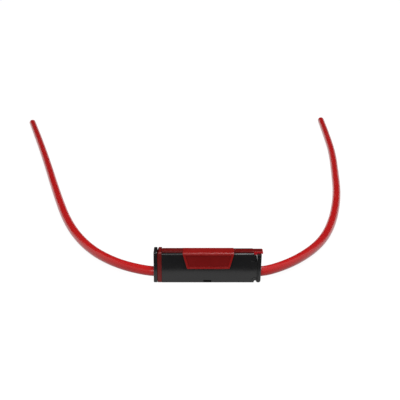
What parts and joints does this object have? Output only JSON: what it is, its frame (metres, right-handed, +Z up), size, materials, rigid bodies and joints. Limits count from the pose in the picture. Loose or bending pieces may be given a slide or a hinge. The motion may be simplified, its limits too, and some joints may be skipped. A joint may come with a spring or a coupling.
{
  "type": "micro blade fuse holder",
  "caption": "Inline holder for a two-blade micro fuse: black moulded housing, red hinged lid with a wedge-shaped tab in front, and a thick red lead from each end.",
  "frame": {"origin": "middle of the housing's underside, without the leads", "axes": "+X along the housing, from the lid's collar to its clip; +Y from the front face to the back, the way the leads run; +Z up, out of the lid"},
  "size_m": [0.2755, 0.3802, 0.0184],
  "materials": {
    "black_plastic": "fine moulded satin",
    "red_plastic": "satin, slightly flexible",
    "lead_red": "smooth extruded cable covering",
    "copper": "bare drawn strands",
    "tinned_metal": "tin plated sheet",
    "spring_steel": "rolled stainless sheet",
    "fuse_plastic": "clear moulded",
    "seal_rubber": "silicone rubber",
    "lock_plastic": "moulded"
  },
  "bodies": {
    "holder": {"housing": "black_plastic", "left_end_cap": "black_plastic", "right_end_cap": "black_plastic", "lid_collar": "red_plastic", "terminal_lock": "lock_plastic", "fuse_body": "fuse_plastic", "fuse_element": "tinned_metal", "left_terminal": "tinned_metal", "right_terminal": "tinned_metal", "left_spring_clip": "spring_steel", "right_spring_clip": "spring_steel", "left_wire_seal": "seal_rubber", "right_wire_seal": "seal_rubber", "left_insulation": "lead_red", "right_insulation": "lead_red", "left_conductor": "copper", "right_conductor": "copper"},
    "cover": {"lid": "red_plastic", "lid_seal": "seal_rubber"}
  },
  "joints": [
    {"name": "lid_hinge", "type": "hinge", "parent": "holder", "child": "cover", "pos_m": [-0.0263, 0, 0.01845], "axis": [0, -1, 0], "range_deg": [0, 120]}
  ]
}
